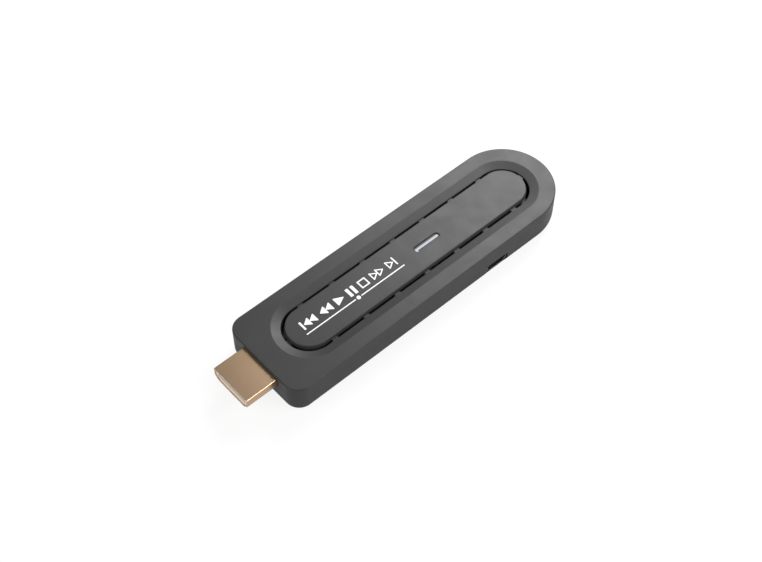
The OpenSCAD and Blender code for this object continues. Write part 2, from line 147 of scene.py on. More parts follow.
def from_solid(name, solid, rings=()):
    """rings lists (outer loop, inner loops) of flat faces with holes, which are filled with triangles."""
    bm = bmesh.new()
    verts = [bm.verts.new(Vector(p) * MM) for p in solid.points]
    for f in solid.faces:
        bm.faces.new([verts[i] for i in f])
    for loops in rings:
        edges = []
        for lp in loops:
            for i, a in enumerate(lp):
                pair = (verts[a], verts[lp[(i + 1) % len(lp)]])
                edges.append(bm.edges.get(pair) or bm.edges.new(pair))
        bmesh.ops.triangle_fill(bm, use_beauty=True, use_dissolve=False, edges=edges)
    bmesh.ops.remove_doubles(bm, verts=bm.verts, dist=1e-8)
    return to_object(name, bm)


def carve(obj, cutter, operation="DIFFERENCE"):
    """Exact boolean of obj with cutter, which is then removed."""
    mod = obj.modifiers.new("carve", "BOOLEAN")
    mod.operation, mod.solver, mod.object = operation, "EXACT", cutter
    graph = bpy.context.evaluated_depsgraph_get()
    mesh = bpy.data.meshes.new_from_object(obj.evaluated_get(graph))
    obj.modifiers.clear()
    old = obj.data
    obj.data = mesh
    mesh.name = obj.name
    bpy.data.meshes.remove(old)
    bpy.data.objects.remove(cutter)


SHARP_TURN = 0.6
SMOOTH_TURN = 0.5


def round_edges(obj, wanted, width):
    """Rounds by width mm the edges that turn sharply and whose two ends pass wanted(point in mm)."""
    bm = bmesh.new()
    bm.from_mesh(obj.data)
    bmesh.ops.dissolve_limit(bm, angle_limit=0.002, verts=bm.verts, edges=bm.edges, delimit={"NORMAL"})
    edges = [
        e
        for e in bm.edges
        if e.is_manifold
        and abs(e.calc_face_angle(0)) > SHARP_TURN
        and all(wanted(v.co / MM) for v in e.verts)
    ]
    bmesh.ops.bevel(
        bm, geom=edges, offset=width * MM, segments=2, profile=0.5, affect="EDGES", clamp_overlap=True
    )
    bm.to_mesh(obj.data)
    bm.free()


def smooth(obj, weighted=True):
    """Smooth shading inside curved areas, sharp where faces turn by more than SMOOTH_TURN radians."""
    bm = bmesh.new()
    bm.from_mesh(obj.data)
    for f in bm.faces:
        f.smooth = True
    for e in bm.edges:
        e.smooth = e.is_manifold and e.calc_face_angle(0) < SMOOTH_TURN
    bm.to_mesh(obj.data)
    bm.free()
    if weighted:
        mod = obj.modifiers.new("even shading", "WEIGHTED_NORMAL")
        mod.keep_sharp = True
        mod.weight = 80
    return obj


def join_solids(name, parts):
    """One mesh from several separate closed solids, each (points, faces) in millimetres."""
    bm = bmesh.new()
    for points, faces in parts:
        verts = [bm.verts.new(Vector(p) * MM) for p in points]
        for f in faces:
            bm.faces.new([verts[i] for i in f])
    return to_object(name, bm)


def prism(base, lift):
    """Closed prism, as (points, faces): base is a list of 3-D points, lift the vector to its other end."""
    n = len(base)
    points = [tuple(p) for p in base] + [tuple(Vector(p) + Vector(lift)) for p in base]
    faces = [tuple(reversed(range(n))), tuple(range(n, 2 * n))]
    faces += [(i, (i + 1) % n, n + (i + 1) % n, n + i) for i in range(n)]
    return points, faces


def circle(cx, cy, r, n):
    turns = [2 * math.pi * i / n for i in range(n)]
    return [(cx + r * math.cos(a), cy + r * math.sin(a)) for a in turns]


def rectangle(x0, y0, x1, y1):
    return [(x0, y0), (x1, y0), (x1, y1), (x0, y1)]


def pin(x, y, r, z0, z1):
    """Upright round pin from z0 to z1."""
    return prism([(px, py, z0) for px, py in circle(x, y, r, 32)], (0, 0, z1 - z0))


def box_solid(a, b):
    """Box from its lowest corner a to its highest corner b."""
    return prism([(x, y, a[2]) for x, y in rectangle(a[0], a[1], b[0], b[1])], (0, 0, b[2] - a[2]))


def rounded(points, radii, steps=6):
    """Outline of a polygon with its corners rounded; the number of points never depends on the radii."""
    out, n = [], len(points)
    for i, (p, r) in enumerate(zip(points, radii)):
        p, before, after = Vector(p), Vector(points[i - 1]), Vector(points[(i + 1) % n])
        d0, d1 = (before - p).normalized(), (after - p).normalized()
        half = d0.angle(d1) / 2
        centre = p + (d0 + d1).normalized() * (r / math.sin(half))
        start = (p + d0 * (r / math.tan(half))) - centre
        end = (p + d1 * (r / math.tan(half))) - centre
        a0, a1 = math.atan2(start.y, start.x), math.atan2(end.y, end.x)
        turn = (a1 - a0 + math.pi) % (2 * math.pi) - math.pi
        for k in range(steps + 1):
            a = a0 + turn * k / steps
            out.append((centre.x + r * math.cos(a), centre.y + r * math.sin(a)))
    return out


# ---------------------------------------------------------------- the loops that the housing is made of
BRIDGE_HALF_ANGLE = math.degrees(math.asin(BRIDGE_W / 2 / (PANEL_R + 0.6)))
SIDE_BRIDGES = 7
FAR_STEPS, NEAR_STEPS, END_BRIDGE_STEPS, CORNER_STEPS = 28, 20, 4, 14


def steps(a, b, n):
    return [a + (b - a) * i / n for i in range(n)]


def end_angles(middle, n):
    """Angles over a half-round end, with n steps on each side of the bridge at its middle."""
    a, b = middle - BRIDGE_HALF_ANGLE, middle + BRIDGE_HALF_ANGLE
    return steps(middle - 90, a, n) + steps(a, b, END_BRIDGE_STEPS) + steps(b, middle + 90, n)


FAR_ANGLES, NEAR_ANGLES = end_angles(0, FAR_STEPS), end_angles(180, NEAR_STEPS)
BRIDGE_EDGES = sorted(
    PANEL_MID + (k - SIDE_BRIDGES // 2) * BRIDGE_PITCH + s * BRIDGE_W / 2
    for k in range(SIDE_BRIDGES)
    for s in (-1, 1)
)
END_STEPS = len(NEAR_ANGLES) - 2 * CORNER_STEPS


def ring(x0, x1, r, z):
    """Stadium loop, anticlockwise from the far end's -Y side."""
    loop = [(x1 + r * math.cos(math.radians(a)), r * math.sin(math.radians(a)), z) for a in FAR_ANGLES]
    loop += [(x1, r, z)] + [(x, r, z) for x in reversed(BRIDGE_EDGES)]
    loop += [(x0 + r * math.cos(math.radians(a)), r * math.sin(math.radians(a)), z) for a in NEAR_ANGLES]
    return loop + [(x0, -r, z)] + [(x, -r, z) for x in BRIDGE_EDGES]


def outline(inset, z):
    """The housing's outline moved in by inset, with as many points as ring(), and in the same order."""
    w, r = HALF_W - inset, CORNER_R - inset
    loop = [(FAR_CX + w * math.cos(math.radians(a)), w * math.sin(math.radians(a)), z) for a in FAR_ANGLES]
    loop += [(FAR_CX, w, z)] + [(x, w, z) for x in reversed(BRIDGE_EDGES)]
    for k in range(CORNER_STEPS):
        a = math.radians(90 + 90 * k / CORNER_STEPS)
        loop.append((NEAR_CX + r * math.cos(a), w - r + r * math.sin(a), z))
    loop += [(END_X + inset, y, z) for y in steps(w - r, r - w, END_STEPS)]
    for k in range(CORNER_STEPS):
        a = math.radians(180 + 90 * k / CORNER_STEPS)
        loop.append((NEAR_CX + r * math.cos(a), r - w + r * math.sin(a), z))
    return loop + [(NEAR_CX, -w, z)] + [(x, -w, z) for x in BRIDGE_EDGES]


# places round ring(), counted from the far end: bridges at the far end, +Y side, near end and -Y side
N_LOOP = len(ring(PANEL_X0, PANEL_X1, PANEL_R, 0))
SIDE_A = len(FAR_ANGLES)
NEAR_END = SIDE_A + len(BRIDGE_EDGES) + 1
SIDE_B = NEAR_END + len(NEAR_ANGLES)
BRIDGE_CELLS = {FAR_STEPS + i for i in range(END_BRIDGE_STEPS)}
BRIDGE_CELLS |= {SIDE_A + 1 + 2 * k for k in range(SIDE_BRIDGES)}
BRIDGE_CELLS |= {NEAR_END + NEAR_STEPS + i for i in range(END_BRIDGE_STEPS)}
BRIDGE_CELLS |= {SIDE_B + 1 + 2 * k for k in range(SIDE_BRIDGES)}
SLOT_CELLS = [i for i in range(N_LOOP) if i not in BRIDGE_CELLS]


def lower_edge(degrees):
    """Point of the rounded lower edge, as (inset, z); 0 degrees is where it meets the wall."""
    a = math.radians(degrees)
    return LOW_R * (1 - math.cos(a)), LOW_R * (1 - math.sin(a))


SEAM_ANGLE = math.degrees(math.asin(1 - SEAM / LOW_R))
SEAM_IN = lower_edge(SEAM_ANGLE)[0]


def round_top(r, height, n):
    """Quarter-round edge of radius r that ends level at height, as (inset, z) points."""
    turn = [math.radians(90 * k / n) for k in range(n + 1)]
    return [(r * (1 - math.cos(a)), height - r + r * math.sin(a)) for a in turn]


def stadium(x0, x1, r, z, n=40):
    """Loop with round ends along X; x0 and x1 are the ends' centres."""
    loop = []
    for x, start in ((x1, -90), (x0, 90)):
        for k in range(n + 1):
            a = math.radians(start + 180 * k / n)
            loop.append((x + r * math.cos(a), r * math.sin(a), z))
    return loop


def round_slot(offset, r, z):
    """Loop of a slot round the light; offset is from its middle to an end's centre."""
    return stadium(LIGHT_X - offset, LIGHT_X + offset, r, z, 16)


def peg_loops(s, r, z):
    return [s.loop([(x, y, z) for x, y in circle(p, 0, r, 24)]) for p in PEGS]


# ---------------------------------------------------------------- upper shell
def make_upper_shell():
    s = Solid()
    profile = [(WALL, SEAM)] + [(SEAM_IN + i, SEAM + z) for i, z in ((0.22, 0), (0.1, 0.02), (0.01, 0.1))]
    profile += [lower_edge(SEAM_ANGLE * part) for part in (0.7, 0.45, 0.2, 0)]
    profile += [(0, TOP - TOP_R - 1.5)] + round_top(TOP_R, TOP, 12) + [(TOP_R + 0.35, TOP)]
    outer = [s.loop(outline(i, z)) for i, z in profile]
    s.skin(outer)

    # the bevel from the flat top band down to the lip of the vent ring, as (radius, z)
    slope = BEVEL_DROP / (BEVEL_R - RING_R)
    rim = ((0.5, 0), (0.14, 0), (0.05, -0.003), (-0.05, -0.02), (-0.14, -0.14 * slope))
    bevel = [(BEVEL_R + r, TOP + z) for r, z in rim]
    bevel += [(RING_R + r, LIP_Z + r * slope) for r in (0.9, 0.16)]
    bevel += [(RING_R + r, LIP_Z + z) for r, z in ((0.08, 0.005), (0.02, -0.05), (0, -0.13))]
    bevel += [(RING_R, BRIDGE_TOP)]
    rings = [s.loop(ring(PANEL_X0, PANEL_X1, r, z)) for r, z in bevel]
    s.strip(outer[-1], rings[0])
    s.skin(rings)
    lip = rings[-1]
    lip_low = s.loop(ring(PANEL_X0, PANEL_X1, RING_R, CEILING))
    pocket_high = s.loop(ring(PANEL_X0, PANEL_X1, POCKET_R, BRIDGE_TOP))
    pocket_seat = s.loop(ring(PANEL_X0, PANEL_X1, POCKET_R, SEAT))
    pocket_low = s.loop(ring(PANEL_X0, PANEL_X1, POCKET_R, CEILING))
    s.strip(lip, pocket_high, BRIDGE_CELLS)
    s.strip(pocket_high, pocket_seat, BRIDGE_CELLS)
    s.strip(lip_low, pocket_low, BRIDGE_CELLS)
    s.strip(lip, lip_low, SLOT_CELLS)
    s.strip(pocket_seat, pocket_low, SLOT_CELLS)
    for i in range(N_LOOP):
        if ((i - 1) % N_LOOP in BRIDGE_CELLS) != (i in BRIDGE_CELLS):
            s.faces.append((lip[i], pocket_high[i], pocket_seat[i], pocket_low[i], lip_low[i]))
    inner_high = s.loop(outline(WALL, CEILING))
    s.strip(lip_low, inner_high)
    s.strip(inner_high, outer[0])

    def holes(z):
        slot = s.loop(round_slot(LIGHT_L / 2 - LIGHT_HOLE_INSET, LIGHT_HOLE_R, z))
        return [slot] + peg_loops(s, PEG_HOLE_R, z)

    above, below = holes(SEAT), holes(CEILING)
    for a, b in zip(above, below):
        s.strip(a, b)
    shell = from_solid("upper_shell", s, [[pocket_seat] + above, [pocket_low] + below])

    bosses = [pin(x, y, BOSS_R, BOSS_LOW, CEILING + 0.3) for x, y in SCREWS]
    carve(shell, join_solids("bosses", bosses), "UNION")
    pilots = [pin(x, y, PILOT_R, PILOT_LOW, PILOT_HIGH) for x, y in SCREWS]
    carve(shell, join_solids("pilots", pilots))
    carve(shell, plug_cutter())
    carve(shell, port_cutter())
    carve(shell, button_cutter())
    carve(shell, hook_cutter())

    def at_end_wall(p):
        return p.x < END_X + 0.02 and abs(p.y) < 7.4 and p.z > 4

    def at_port(p):
        return p.y < -HALF_W + 0.2 and abs(p.x - USB_X) < 4.3 and p.z > SEAM + 0.01

    def at_button(p):
        return p.y > HALF_W - 0.02 and abs(p.x - CAP_X) < 3 and p.z > 5

    round_edges(shell, at_end_wall, 0.12)
    round_edges(shell, at_port, 0.08)
    round_edges(shell, at_button, 0.12)
    return smooth(shell)


def plug_cutter():
    """Opening for the plug in the end wall, with the room behind it."""
    through = prism([(END_X - 1, y, z) for y, z in plug_outline(0.1)], (WALL + 1.4, 0, 0))
    half = PLUG_W + 0.2
    room = box_solid((END_X + WALL + 0.2, -half, BOSS_LOW), (plug_hi.x + 0.3, half, plug_hi.z + 0.08))
    cutter = join_solids("plug opening", [through])
    carve(cutter, join_solids("plug room", [room]), "UNION")
    return cutter


def port_cutter():
    """Opening for the USB socket, cut from both shells."""
    half = (usb_hi.x - usb_lo.x) / 2 + PORT_GAP
    shape = rounded(rectangle(-half, PORT_LOW, half, PORT_HIGH), [0.9] * 4, 8)
    through = prism([(USB_X + x, -HALF_W - 1, z) for x, z in shape], (0, WALL + 2, 0))
    return join_solids("port opening", [through])


def cap_shape(grow):
    """Upright outline of the button moved out by grow, as (x, z), with round ends."""
    r, half, turns = CAP_H / 2 + grow, (CAP_L - CAP_H) / 2, 16
    shape = []
    for side, start in ((1, -90), (-1, 90)):
        for k in range(turns + 1):
            a = math.radians(start + 180 * k / turns)
            shape.append((CAP_X + side * half + r * math.cos(a), CAP_Z + r * math.sin(a)))
    return shape


def button_cutter():
    """Hole for the button, with play all round it."""
    through = prism([(x, HALF_W - WALL - 1, z) for x, z in cap_shape(0.12)], (0, WALL + 2, 0))
    return join_solids("button hole", [through])


def hook_cutter():
    """Pockets inside the side walls that the lower shell's hooks snap into."""
    parts, half = [], HOOK_HALF + HOOK_PLAY
    for x, side in HOOKS:
        y = sorted((side * (HALF_W - WALL - 0.2), side * (HALF_W - WALL + 0.45)))
        parts.append(box_solid((x - half, y[0], SEAM + 0.55), (x + half, y[1], SEAM + 1.25)))
    return join_solids("hook pockets", parts)


# ---------------------------------------------------------------- lower shell
def make_lower_shell():
    s = Solid()
    rim = ((8.0, label_hi.z), (8.0, 0.05), (8.05, 0.0))
    recess = [s.loop(stadium(LABEL_X0, LABEL_X1, r, z)) for r, z in rim]
    profile = [lower_edge(90 - (88 - SEAM_ANGLE) * k / 14) for k in range(15)]
    profile += [(SEAM_IN + i, SEAM + z) for i, z in ((0.03, -0.07), (0.12, -0.01), (0.24, 0))]
    # the locating lip that stands up inside the upper shell
    profile += [(1.6, SEAM), (1.6, LIP_TOP - 0.2), (1.75, LIP_TOP), (2.3, LIP_TOP), (2.3, FLOOR_T)]
    outer = [s.loop(outline(i, z)) for i, z in profile]
    s.cap(recess[0])
    s.skin(recess)
    s.skin(outer)
    s.cap(outer[-1])
    shell = from_solid("lower_shell", s, [[outer[0], recess[-1]]])

    foot = FLOOR_T - 0.3
    posts = [pin(x, y, POST_R, foot, POST_TOP) for x, y in SCREWS]
    for x in (-14, 34):
        posts += [pin(PANEL_MID + x, side * STUD_Y, STUD_R, foot, POST_TOP) for side in (-1, 1)]
    carve(shell, join_solids("posts", posts), "UNION")
    carve(shell, join_solids("screw wells", [pin(x, y, WELL_R, FLOOR_T, PILOT_LOW) for x, y in SCREWS]))
    hooks = []
    for x, side in HOOKS:
        y, z = side * (HALF_W - WALL - 0.1), SEAM + 0.9
        shape = [(-0.3, -0.28), (0.35, -0.2), (0.35, -0.05), (-0.3, 0.32)]
        hooks.append(prism([(x - HOOK_HALF, y + side * a, z + b) for a, b in shape], (2 * HOOK_HALF, 0, 0)))
    carve(shell, join_solids("hooks", hooks), "UNION")
    carve(shell, port_cutter())

    def at_port(p):
        return p.y < -HALF_W + 0.8 and abs(p.x - USB_X) < 4.3 and PORT_LOW - 0.1 < p.z < SEAM - 0.01

    round_edges(shell, at_port, 0.06)
    return smooth(shell)


# ---------------------------------------------------------------- raised panel
def make_panel():
    s = Solid()
    edge, rim, skirt = 0.26, 0.1, 0.28
    profile = [(0, SEAT), (0, BRIDGE_TOP + 0.02), (-skirt, BRIDGE_TOP + 0.02), (-skirt, BRIDGE_TOP + 0.05)]
    profile += [(i - rim, z) for i, z in round_top(edge, PANEL_TOP, 8)]
    profile.append((edge + 0.25 - rim, PANEL_TOP))
    outer = [s.loop(ring(PANEL_X0, PANEL_X1, PANEL_R - i, z)) for i, z in profile]
    s.skin(outer)
    slot = [(g, PANEL_TOP - z) for g, z in ((0.13, 0), (0.06, 0.01), (0.015, 0.05), (0, 0.12))] + [(0, SEAT)]
    inner = [s.loop(round_slot((LIGHT_L - LIGHT_W) / 2, LIGHT_W / 2 + g, z)) for g, z in slot]
    s.skin(inner)
    feet = peg_loops(s, PEG_R, SEAT)
    tips = peg_loops(s, PEG_R, CEILING + 0.2)
    ends = peg_loops(s, PEG_TIP_R, CEILING + 0.1)
    for f, t, e in zip(feet, tips, ends):
        s.strip(f, t)
        s.strip(t, e)
        s.cap(e)
    return smooth(from_solid("panel", s, [[outer[-1], inner[0]], [outer[0], inner[-1]] + feet]))


# ---------------------------------------------------------------- HDMI plug
def plug_outline(grow):
    """(y, z) outline of the plug's shell, moved out by grow."""
    w, f = PLUG_W + grow, FOOT_W + grow * 0.8
    top, bottom = plug_hi.z + grow, plug_lo.z - grow
    knee = plug_hi.z - SIDE_H - grow * 0.3
    corners = [(w, top), (-w, top), (-w, knee), (-f, bottom), (f, bottom), (w, knee)]
    radii = [max(r + grow, 0.08) for r in (0.32, 0.32, 0.6, 0.6, 0.6, 0.6)]
    return rounded(corners, radii)


def make_plug_shell():
    s = Solid()
    tip, back, low = plug_lo.x, plug_hi.x, plug_lo.z
    # along the outside, round the rolled front edge and back along the inside, as (x, growth)
    mouth = ((3, 0), (0.12, 0), (0.05, -0.02), (0.015, -0.06))
    mouth += ((0, -0.12), (0, -0.2), (0.03, -0.26), (0.1, -SHEET))
    profile = [(back, 0), (END_X, 0)] + [(tip + x, g) for x, g in mouth] + [(back - SHEET, -SHEET)]
    s.closed([[(x, y, z) for y, z in plug_outline(g)] for x, g in profile])
    shell = from_solid("plug_shell", s)
    # two latch windows, the way out for the contacts at the back, and the seam of the folded sheet
    windows = []
    for y in (-2.6, 2.6):
        windows.append(box_solid((tip + 4.6, y - 0.9, low - 1), (tip + 7.4, y + 0.9, low + SHEET + 0.05)))
    windows.append(box_solid((back - 1, -FOOT_W, low + 0.15), (back + 1, FOOT_W, low + 2)))
    windows.append(box_solid((tip + 0.8, -0.03, low - 1), (END_X + 3, 0.03, low + 0.12)))
    carve(shell, join_solids("windows", windows))
    round_edges(shell, lambda p: p.z < low + 0.01 and tip + 4.4 < p.x < tip + 7.6 and abs(p.y) > 1, 0.06)
    return smooth(shell)


# ---------------------------------------------------------------- push-button
def make_button():
    s = Solid()
    back = cap_lo.y + 0.5
    # crowned face: (depth below the face, inset)
    crown = ((0.32, 0), (0.18, 0.015), (0.09, 0.06), (0.04, 0.14), (0.015, 0.26), (0.004, 0.5), (0, 0.8))
    profile = [(back - 0.02, 0)] + [(CAP_FACE - depth, g) for depth, g in crown]
    s.closed([[(x, y, z) for x, z in cap_shape(-g)] for y, g in profile])
    cap = from_solid("button", s)
    flange = box_solid((cap_lo.x, cap_lo.y, cap_lo.z), (cap_hi.x, back, cap_hi.z))
    carve(cap, join_solids("flange", [flange]), "UNION")
    return smooth(cap)


# ---------------------------------------------------------------- light pipe under the slot
LIGHT_RADII = [0.2, 0.2, 0.15, 0.36, 0.36, 0.32]


def light_bar(grow, bottom, top):
    """The lit bar along the slot, with a short hook at its near end."""
    x0, x1 = pipe_lo.x + 0.1, pipe_hi.x - 0.05
    corners = [(x0 + 0.1, -0.80), (x0 + 0.58, -0.86), (x0 + 0.75, -0.40), (x1, -0.40), (x1, 0.34), (x0, 0.34)]
    s = Solid()
    edge = 0.03
    profile = [(-grow, bottom), (-grow, top - edge), (edge - grow, top)]
    s.closed([[(x, y, z) for x, y in rounded_inset(corners, LIGHT_RADII, g)] for g, z in profile])
    return from_solid("lit_bar", s)


def make_lens():
    """Smoked lens that fills the slot round the lit bar, on the collar that holds it below the panel."""
    s = Solid()
    r, far, top = LIGHT_W / 2 - 0.03, (LIGHT_L - LIGHT_W) / 2, pipe_hi.z
    collar_r, collar_far = 1.25, far - 0.5
    profile = [(collar_far, collar_r, pipe_lo.z), (collar_far, collar_r, SEAT - 0.06), (far, r, SEAT - 0.05)]
    profile += [(far, r - i, top - depth) for i, depth in ((0, 0.1), (0.04, 0.04), (0.12, 0.02))]
    s.closed([round_slot(*row) for row in profile])
    lens = from_solid("smoked_lens", s)
    carve(lens, light_bar(0.01, SEAT + 0.2, top + 0.5))
    return smooth(lens)


def rounded_inset(corners, radii, inset):
    """rounded() with the whole outline moved in by inset."""
    moved, new_radii = [], []
    for i, r in enumerate(radii):
        p, a, b = Vector(corners[i]), Vector(corners[i - 1]), Vector(corners[(i + 1) % len(corners)])
        u, v = (p - a).normalized(), (b - p).normalized()
        nu, nv = Vector((-u.y, u.x)), Vector((-v.y, v.x))
        moved.append(tuple(p + (nu + nv) * (inset / (1 + nu.dot(nv)))))
        new_radii.append(r - inset if (p - a).cross(b - p) > 0 else r + inset)
    return rounded(moved, new_radii)


# ---------------------------------------------------------------- printed marks
PRINT_T = 0.02


def flat_marks(name, shapes, z):
    """Thin printed shapes, each an outline or an (outer, inner) pair with equal numbers of points."""
    parts = []
    for shape in shapes:
        if isinstance(shape, tuple):
            s = Solid()
            outer, inner = shape
            section = ((outer, z), (outer, z + PRINT_T), (inner, z + PRINT_T), (inner, z))
            loops = [s.loop([(x, y, h) for x, y in points]) for points, h in section]
            s.skin(loops + loops[:1])
            parts.append((s.points, s.faces))
        else:
            parts.append(prism([(x, y, z) for x, y in shape], (0, 0, PRINT_T)))
    return join_solids(name, parts)


SYMBOL_LOW, SYMBOL_H = -0.4, 3.0
SYMBOL_MID, SYMBOL_TOP = SYMBOL_LOW + SYMBOL_H / 2, SYMBOL_LOW + SYMBOL_H
SYMBOLS_X = END_X + 15.2
LINE_Y, LINE_HALF, LINE_X0, LINE_X1 = -1.8, 0.17, END_X + 14.6, END_X + 49.8
KNOB_X, KNOB_R, KNOB_SPACE = END_X + 33.0, 0.62, 1.0


def rounded_bar(x0, y0, x1, y1, r, steps):
    return rounded(rectangle(x0, y0, x1, y1), [r] * 4, steps)


def triangle(x, w, flip=False):
    points = [(x, SYMBOL_LOW), (x + w, SYMBOL_MID), (x, SYMBOL_TOP)]
    if flip:
        points = [(2 * x + w - px, py) for px, py in reversed(points)]
    return points


def line_frame(points, width):
    """Outline of a symbol drawn as a line of the given width, as an (outer, inner) pair."""
    inner, n = [], len(points)
    for i in range(n):
        p, a, b = Vector(points[i]), Vector(points[i - 1]), Vector(points[(i + 1) % n])
        d0, d1 = (a - p).normalized(), (b - p).normalized()
        half = d0.angle(d1) / 2
        inner.append(tuple(p + (d0 + d1).normalized() * (width / math.sin(half))))
    return rounded(points, [0.14] * n, 4), rounded(inner, [0.05] * n, 4)


def make_print():
    """Generic transport symbols over a progress line."""

    def solid_triangle(x, w, flip=False):
        return rounded(triangle(SYMBOLS_X + x, w, flip), [0.16] * 3, 4)

    def open_triangle(x):
        return line_frame(triangle(SYMBOLS_X + x, 2.3), 0.34)

    def bar(x, w):
        return rounded_bar(SYMBOLS_X + x, SYMBOL_LOW, SYMBOLS_X + x + w, SYMBOL_TOP, 0.12, 3)

    square = rectangle(SYMBOLS_X + 20.6, SYMBOL_LOW + 0.1, SYMBOLS_X + 23.4, SYMBOL_TOP - 0.1)
    shapes = [bar(0, 0.6), solid_triangle(0.8, 2.1, True), solid_triangle(2.8, 2.1, True)]  # back
    shapes += [solid_triangle(6.4, 2.1, True), solid_triangle(8.4, 2.1, True)]  # rewind
    shapes += [solid_triangle(12.0, 3.0)]  # play
    shapes += [bar(16.4, 0.95), bar(18.1, 0.95)]  # pause
    shapes += [line_frame(square, 0.42)]  # stop
    shapes += [open_triangle(24.9), open_triangle(27.0)]  # forward
    shapes += [open_triangle(30.7), bar(33.2, 0.42)]  # next
    for x0, x1 in ((LINE_X0, KNOB_X - KNOB_SPACE), (KNOB_X + KNOB_SPACE, LINE_X1)):
        shapes.append(rounded_bar(x0, LINE_Y - LINE_HALF, x1, LINE_Y + LINE_HALF, 0.16, 4))
    shapes.append(circle(KNOB_X, LINE_Y, KNOB_R, 28))
    return smooth(flat_marks("panel_print", shapes, PANEL_TOP), weighted=False)


def make_label_print():
    """Plain border and empty ruled fields on the label under the housing."""

    def border(inset):
        return [(x, y) for x, y, _ in stadium(LABEL_X0, LABEL_X1, LABEL_R - inset, 0)]

    rule = 0.24
    shapes = [(border(0.7), border(0.95))]
    for y in (-3.4, 0.0, 3.4):
        shapes.append(rounded_bar(LABEL_X0 - 1, y - rule / 2, LABEL_X1 + 1, y + rule / 2, 0.1, 3))
    shapes += [rounded_bar(x, 0.5, x + rule, 2.9, 0.1, 3) for x in (LABEL_X0 + 14, LABEL_X1 - 14)]
    shapes += [circle(x, -1.7, 0.9, 28) for x in (LABEL_X0 + 3, LABEL_X1 - 3)]
    return smooth(flat_marks("label_print", shapes, label_lo.z - PRINT_T), weighted=False)


# ---------------------------------------------------------------- materials
def new_material(name):
    mat = bpy.data.materials.new(name + "_finish")
    mat.use_nodes = True
    tree = mat.node_tree
    return mat, tree, tree.nodes["Principled BSDF"]


def node(tree, kind, **settings):
    n = tree.nodes.new(kind)
    for key, value in settings.items():
        if key in n.inputs:
            n.inputs[key].default_value = value
        else:
            setattr(n, key, value)
    return n


def noise(tree, coords, scale, detail, rough=0.55):
    n = node(tree, "ShaderNodeTexNoise", Scale=scale, Detail=detail, Roughness=rough)
    tree.links.new(coords, n.inputs["Vector"])
    return n.outputs["Fac"]


def ramp(tree, source, low, first, high, last):
    """Colour that goes from `first` where source is `low` to `last` where it is `high`."""
    n = tree.nodes.new("ShaderNodeValToRGB")
    for e, pos, colour in zip(n.color_ramp.elements, (low, high), (first, last)):
        e.position, e.color = pos, (*colour, 1)
    tree.links.new(source, n.inputs["Fac"])
    return n.outputs["Color"]


def spread(tree, source, low, high, from_low=0.3, from_high=0.7):
    """Number that goes from low to high as source goes from from_low to from_high."""
    n = tree.nodes.new("ShaderNodeMapRange")
    for key, value in (("From Min", from_low), ("From Max", from_high), ("To Min", low), ("To Max", high)):
        n.inputs[key].default_value = value
    tree.links.new(source, n.inputs["Value"])
    return n.outputs["Result"]


def bump(tree, shader, heights):
    """heights are (socket, strength, distance in mm), coarse first."""
    last = None
    for source, strength, distance in heights:
        n = tree.nodes.new("ShaderNodeBump")
        n.inputs["Strength"].default_value = strength
        n.inputs["Distance"].default_value = distance * MM
        tree.links.new(source, n.inputs["Height"])
        if last:
            tree.links.new(last, n.inputs["Normal"])
        last = n.outputs["Normal"]
    tree.links.new(last, shader.inputs["Normal"])


def shades(colour, *factors):
    return [tuple(c * f for c in colour) for f in factors]


def object_coords(tree, stretch=(1, 1, 1)):
    """Object coordinates in millimetres, stretched along an axis if asked."""
    c = tree.nodes.new("ShaderNodeTexCoord")
    m = tree.nodes.new("ShaderNodeMapping")
    m.inputs["Scale"].default_value = tuple(s / MM for s in stretch)
    tree.links.new(c.outputs["Object"], m.inputs["Vector"])
    return m.outputs["Vector"]


def blend(tree, a, b, factor, kind="MIX"):
    n = tree.nodes.new("ShaderNodeMix")
    n.data_type, n.blend_type = "RGBA", kind
    n.inputs["Factor"].default_value = factor
    tree.links.new(a, n.inputs["A"])
    tree.links.new(b, n.inputs["B"])
    return n.outputs["Result"]


def plastic(name, colour, rough, grain, vary=0.10):
    """Moulded plastic: spark-eroded grain, slight cloudiness and handling marks in the gloss."""
    mat, t, sh = new_material(name)
    p = object_coords(t)
    cloud = noise(t, p, 0.05, 3)
    fine = noise(t, p, 2.6, 5, 0.65)
    grain_n = noise(t, p, 5.5, 3, 0.6)
    dark, light = shades(colour, 1 - vary, 1 + vary)
    tones = [ramp(t, source, 0.3, dark, 0.7, light) for source in (cloud, fine)]
    t.links.new(blend(t, *tones, 0.5), sh.inputs["Base Color"])
    t.links.new(spread(t, noise(t, p, 0.22, 4, 0.6), rough - 0.05, rough + 0.06), sh.inputs["Roughness"])
    sh.inputs["Specular IOR Level"].default_value = 0.2
    bump(t, sh, [(fine, 0.25 * grain, 0.05), (grain_n, 0.35 * grain, 0.03)])
    return mat


def painted_led_glow(mat):
    """Painted glow: emission on the panel beside the light slot, standing in for the light that spills from
    it.
    """
    t = mat.node_tree
    sh = t.nodes["Principled BSDF"]
    c = t.nodes.new("ShaderNodeTexCoord")
    m = t.nodes.new("ShaderNodeMapping")
    middle, reach = (LIGHT_X - 0.5, -1.6, PANEL_TOP), (5.5, 2.6, 2.0)
    m.inputs["Location"].default_value = tuple(-c / r for c, r in zip(middle, reach))
    m.inputs["Scale"].default_value = tuple(1 / r / MM for r in reach)
    g = node(t, "ShaderNodeTexGradient", gradient_type="SPHERICAL")
    t.links.new(c.outputs["Object"], m.inputs["Vector"])
    t.links.new(m.outputs["Vector"], g.inputs["Vector"])
    # painted glow: bluish emission that fades out with distance from the light slot
    painted_glow_colour = ramp(t, g.outputs["Fac"], 0, (0, 0, 0), 1, (0.010, 0.009, 0.022))
    t.links.new(painted_glow_colour, sh.inputs["Emission Color"])
    sh.inputs["Emission Strength"].default_value = 1.0
    return mat


